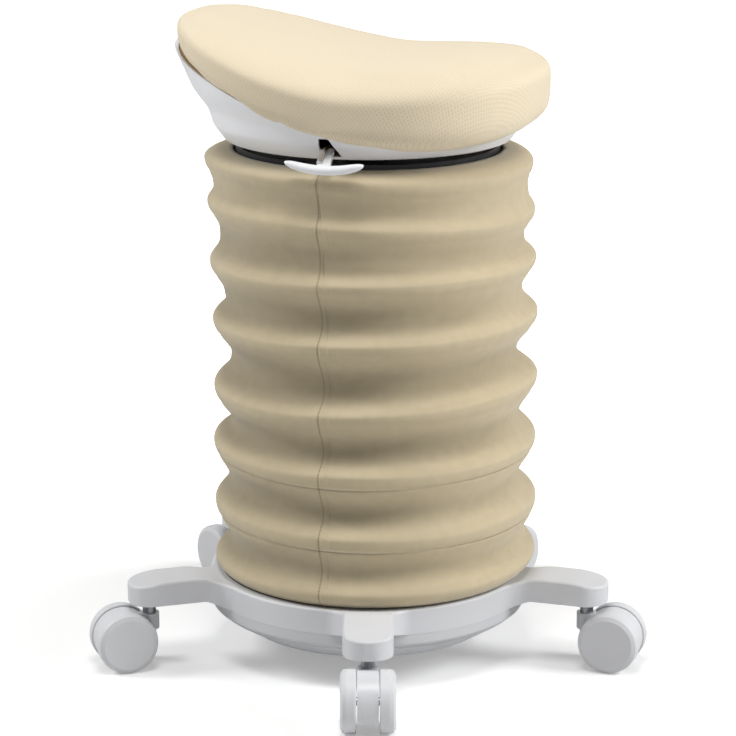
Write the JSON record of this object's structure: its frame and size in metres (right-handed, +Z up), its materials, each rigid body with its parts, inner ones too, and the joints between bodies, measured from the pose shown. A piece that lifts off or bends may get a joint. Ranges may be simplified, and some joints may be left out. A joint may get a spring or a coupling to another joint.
{
  "type": "wobble stool",
  "caption": "Height-adjustable wobble stool with a saddle seat, a round pleated fabric sleeve over its column, a star base and twin-wheel castors.",
  "frame": {"origin": "on the column's axis at floor level, below the wobble joint", "axes": "+Z up; the front arm of the star base points to -Y; +X is to the right of a viewer who looks along +Y; the saddle's front end lies 16 degrees clockwise of +X"},
  "size_m": [0.5514, 0.5254, 0.6379],
  "materials": {
    "base_plastic": "satin moulded, light grey",
    "tray_plastic": "satin moulded, mid grey",
    "rubber": "moulded rubber",
    "black_plastic": "satin moulded, black",
    "steel": "zinc-plated",
    "column_steel": "satin black paint",
    "chrome": "polished",
    "stem_steel": "zinc-plated, grey",
    "castor_plastic": "satin moulded, light grey",
    "wheel_plastic": "satin moulded, light grey",
    "bellows_fabric": "fine knit, beige",
    "hoop_steel": "spring steel",
    "seat_fabric": "spacer mesh, sand",
    "foam": "moulded foam",
    "board_wood": "bent plywood",
    "shell_plastic": "satin moulded, white",
    "handle_plastic": "satin moulded, white",
    "button_plastic": "moulded"
  },
  "bodies": {
    "base": {"star_base": "base_plastic", "base_tray": "tray_plastic", "rubber_stop": "rubber", "bellows_lower_ring": "black_plastic", "lower_yoke": "steel", "lower_bushes": "black_plastic", "base_screws": "steel", "castor_stem_1": "stem_steel", "castor_stem_2": "stem_steel", "castor_stem_3": "stem_steel", "castor_stem_4": "stem_steel", "castor_stem_5": "stem_steel"},
    "castor_1": {"castor_hood_1": "castor_plastic", "castor_axle_1": "chrome"},
    "wheel_1a": {"castor_wheel_1a": "wheel_plastic"},
    "wheel_1b": {"castor_wheel_1b": "wheel_plastic"},
    "castor_2": {"castor_hood_2": "castor_plastic", "castor_axle_2": "chrome"},
    "wheel_2a": {"castor_wheel_2a": "wheel_plastic"},
    "wheel_2b": {"castor_wheel_2b": "wheel_plastic"},
    "castor_3": {"castor_hood_3": "castor_plastic", "castor_axle_3": "chrome"},
    "wheel_3a": {"castor_wheel_3a": "wheel_plastic"},
    "wheel_3b": {"castor_wheel_3b": "wheel_plastic"},
    "castor_4": {"castor_hood_4": "castor_plastic", "castor_axle_4": "chrome"},
    "wheel_4a": {"castor_wheel_4a": "wheel_plastic"},
    "wheel_4b": {"castor_wheel_4b": "wheel_plastic"},
    "castor_5": {"castor_hood_5": "castor_plastic", "castor_axle_5": "chrome"},
    "wheel_5a": {"castor_wheel_5a": "wheel_plastic"},
    "wheel_5b": {"castor_wheel_5b": "wheel_plastic"},
    "cross": {"cardan_cross": "steel"},
    "column": {"upper_yoke": "steel", "upper_bushes": "black_plastic", "column_tube": "column_steel", "guide_bush": "black_plastic", "thrust_bearing": "steel", "piston_rod": "chrome"},
    "lift": {"bellows_cap": "black_plastic", "bellows_upper_ring": "black_plastic", "swivel_bearing": "black_plastic", "bellows": "bellows_fabric", "bellows_hoops": "hoop_steel"},
    "seat": {"gas_cylinder": "chrome", "seat_socket": "steel", "mechanism_plate": "steel", "lever_bracket": "steel", "lever_pin": "chrome", "seat_shell": "shell_plastic", "seat_board": "board_wood", "cushion_foam": "foam", "seat_cover": "seat_fabric"},
    "lever": {"lever_rod": "chrome", "lever_handle": "handle_plastic"},
    "button": {"valve_button": "button_plastic"}
  },
  "joints": [
    {"name": "castor_swivel_1", "type": "hinge", "parent": "base", "child": "castor_1", "pos_m": [0, -0.2268, 0.0665], "axis": [0, 0, 1], "continuous": true},
    {"name": "wheel_spin_1a", "type": "hinge", "parent": "castor_1", "child": "wheel_1a", "pos_m": [0, -0.2532, 0.03], "axis": [1, 0, 0], "continuous": true},
    {"name": "wheel_spin_1b", "type": "hinge", "parent": "castor_1", "child": "wheel_1b", "pos_m": [0, -0.2532, 0.03], "axis": [1, 0, 0], "continuous": true},
    {"name": "castor_swivel_2", "type": "hinge", "parent": "base", "child": "castor_2", "pos_m": [0.2157, -0.07009, 0.0665], "axis": [0, 0, 1], "continuous": true},
    {"name": "wheel_spin_2a", "type": "hinge", "parent": "castor_2", "child": "wheel_2a", "pos_m": [0.24081, -0.07824, 0.03], "axis": [0.309, 0.9511, 0], "continuous": true},
    {"name": "wheel_spin_2b", "type": "hinge", "parent": "castor_2", "child": "wheel_2b", "pos_m": [0.24081, -0.07824, 0.03], "axis": [0.309, 0.9511, 0], "continuous": true},
    {"name": "castor_swivel_3", "type": "hinge", "parent": "base", "child": "castor_3", "pos_m": [0.13331, 0.18349, 0.0665], "axis": [0, 0, 1], "continuous": true},
    {"name": "wheel_spin_3a", "type": "hinge", "parent": "castor_3", "child": "wheel_3a", "pos_m": [0.14883, 0.20484, 0.03], "axis": [-0.809, 0.5878, 0], "continuous": true},
    {"name": "wheel_spin_3b", "type": "hinge", "parent": "castor_3", "child": "wheel_3b", "pos_m": [0.14883, 0.20484, 0.03], "axis": [-0.809, 0.5878, 0], "continuous": true},
    {"name": "castor_swivel_4", "type": "hinge", "parent": "base", "child": "castor_4", "pos_m": [-0.13331, 0.18349, 0.0665], "axis": [0, 0, 1], "continuous": true},
    {"name": "wheel_spin_4a", "type": "hinge", "parent": "castor_4", "child": "wheel_4a", "pos_m": [-0.14883, 0.20484, 0.03], "axis": [-0.809, -0.5878, 0], "continuous": true},
    {"name": "wheel_spin_4b", "type": "hinge", "parent": "castor_4", "child": "wheel_4b", "pos_m": [-0.14883, 0.20484, 0.03], "axis": [-0.809, -0.5878, 0], "continuous": true},
    {"name": "castor_swivel_5", "type": "hinge", "parent": "base", "child": "castor_5", "pos_m": [-0.2157, -0.07009, 0.0665], "axis": [0, 0, 1], "continuous": true},
    {"name": "wheel_spin_5a", "type": "hinge", "parent": "castor_5", "child": "wheel_5a", "pos_m": [-0.24081, -0.07824, 0.03], "axis": [0.309, -0.9511, 0], "continuous": true},
    {"name": "wheel_spin_5b", "type": "hinge", "parent": "castor_5", "child": "wheel_5b", "pos_m": [-0.24081, -0.07824, 0.03], "axis": [0.309, -0.9511, 0], "continuous": true},
    {"name": "wobble_fore_aft", "type": "hinge", "parent": "base", "child": "cross", "pos_m": [0, 0, 0.11], "axis": [0, 1, 0], "range_deg": [-7, 7], "stiffness_Nm_per_rad": 350, "deforming": ["bellows", "bellows_hoops"]},
    {"name": "wobble_sideways", "type": "hinge", "parent": "cross", "child": "column", "pos_m": [0, 0, 0.11], "axis": [1, 0, 0], "range_deg": [-7, 7], "stiffness_Nm_per_rad": 350, "deforming": ["bellows", "bellows_hoops"]},
    {"name": "height_lift", "type": "slide", "parent": "column", "child": "lift", "axis": [0, 0, 1], "range_m": [-0.11, 0], "deforming": ["bellows", "bellows_hoops"]},
    {"name": "seat_swivel", "type": "hinge", "parent": "lift", "child": "seat", "pos_m": [0, 0, 0.512], "axis": [0, 0, 1], "continuous": true},
    {"name": "lever_pull", "type": "hinge", "parent": "seat", "child": "lever", "pos_m": [-0.01378, -0.04806, 0.5266], "axis": [-0.9613, 0.2756, 0], "range_deg": [0, 4], "stiffness_Nm_per_rad": 0.6},
    {"name": "valve_press", "type": "slide", "parent": "seat", "child": "button", "axis": [0, 0, -1], "range_m": [0, 0.0036], "stiffness_N_per_m": 300}
  ],
  "couplings": [
    {"joint": "valve_press", "follows": "lever_pull", "m_per_rad": 0.05}
  ]
}
